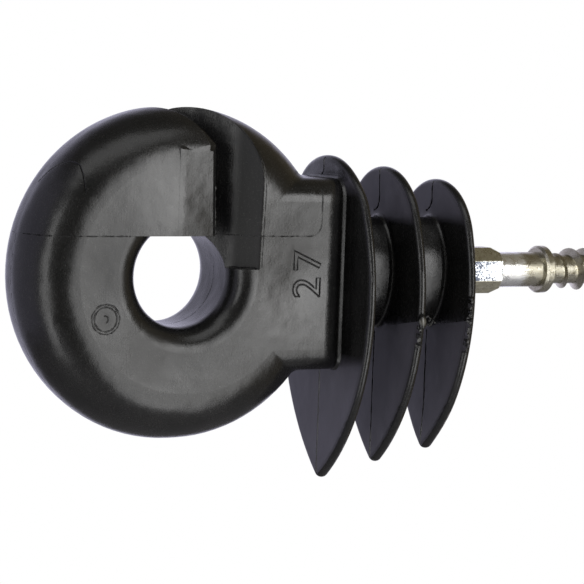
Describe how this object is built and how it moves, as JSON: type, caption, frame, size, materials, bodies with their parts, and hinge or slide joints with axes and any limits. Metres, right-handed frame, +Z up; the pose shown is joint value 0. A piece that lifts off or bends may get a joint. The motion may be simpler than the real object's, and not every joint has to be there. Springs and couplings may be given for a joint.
{
  "type": "screw-in ring insulator",
  "caption": "Black ring insulator with a diagonal wire slot, drop-shaped sheds on a short neck, and a steel wood screw to fix it to a post.",
  "frame": {"origin": "centre of the wire bore, on the ring's mid plane", "axes": "+X along the screw, away from the ring; +Y along the wire bore; +Z up, towards the open end of the wire slot"},
  "size_m": [0.118, 0.025, 0.0504],
  "materials": {
    "black_plastic": "satin moulded black plastic",
    "zinc_plated_steel": "zinc-plated steel with rough pinch marks"
  },
  "bodies": {
    "root": {"insulator_body": "black_plastic", "wood_screw": "zinc_plated_steel"}
  },
  "joints": []
}
